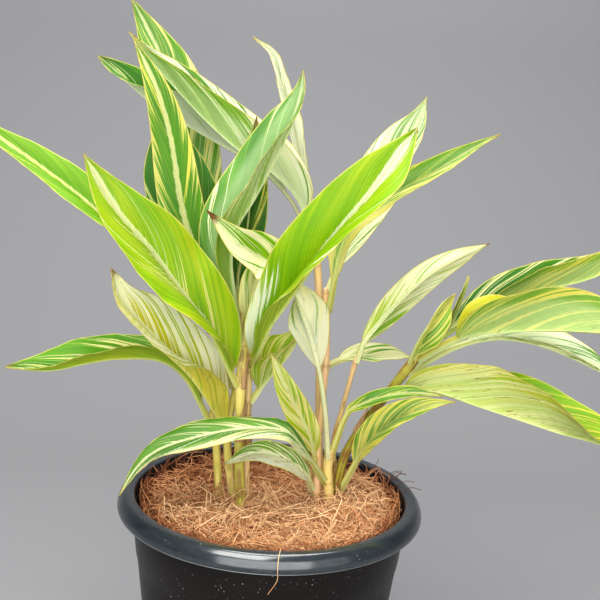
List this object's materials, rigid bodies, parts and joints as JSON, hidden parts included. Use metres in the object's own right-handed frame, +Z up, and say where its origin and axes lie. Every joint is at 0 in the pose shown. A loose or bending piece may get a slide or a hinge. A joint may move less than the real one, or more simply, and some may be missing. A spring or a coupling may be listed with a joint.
{
  "type": "potted variegated shell ginger",
  "caption": "Variegated shell ginger with lance-shaped striped leaves on upright canes, rooted in potting mix under coir mulch in a round nursery pot.",
  "frame": {"origin": "centre of the underside of the pot, on the surface that it stands on", "axes": "+Z up along the pot's axis, +X towards the plant's right-hand side as seen from its front, -Y towards its front"},
  "size_m": [0.573, 0.25, 0.6123],
  "materials": {
    "pot_plastic": "satin black, moulded",
    "potting_mix": "crumbly, dark brown",
    "coir": "loose orange-tan fibre",
    "rhizome": "matt, ringed skin",
    "cane": "smooth living stem, cream to pinkish tan",
    "leaf": "satin green with cream and yellow stripes along the side veins"
  },
  "bodies": {
    "root": {"pot": "pot_plastic", "potting_mix": "potting_mix", "coir_mulch": "coir", "left_rhizome": "rhizome", "right_rhizome": "rhizome", "left_cane_1": "cane", "left_cane_2": "cane", "left_cane_3": "cane", "left_cane_4": "cane", "right_cane_1": "cane", "right_cane_2": "cane", "right_cane_3": "cane", "right_cane_4": "cane", "right_cane_5": "cane", "left_leaf_01": "leaf", "left_leaf_02": "leaf", "left_leaf_03": "leaf", "left_leaf_04": "leaf", "left_leaf_05": "leaf", "left_leaf_06": "leaf", "left_leaf_07": "leaf", "left_leaf_08": "leaf", "left_leaf_09": "leaf", "left_leaf_10": "leaf", "left_leaf_11": "leaf", "left_leaf_12": "leaf", "right_leaf_01": "leaf", "right_leaf_02": "leaf", "right_leaf_03": "leaf", "right_leaf_04": "leaf", "right_leaf_05": "leaf", "right_leaf_06": "leaf", "right_leaf_07": "leaf", "right_leaf_08": "leaf", "right_leaf_09": "leaf", "right_leaf_10": "leaf", "right_leaf_11": "leaf", "right_leaf_12": "leaf", "right_leaf_13": "leaf", "right_leaf_14": "leaf", "right_leaf_15": "leaf", "right_leaf_16": "leaf", "right_leaf_17": "leaf", "right_leaf_18": "leaf", "right_leaf_19": "leaf"}
  },
  "joints": []
}
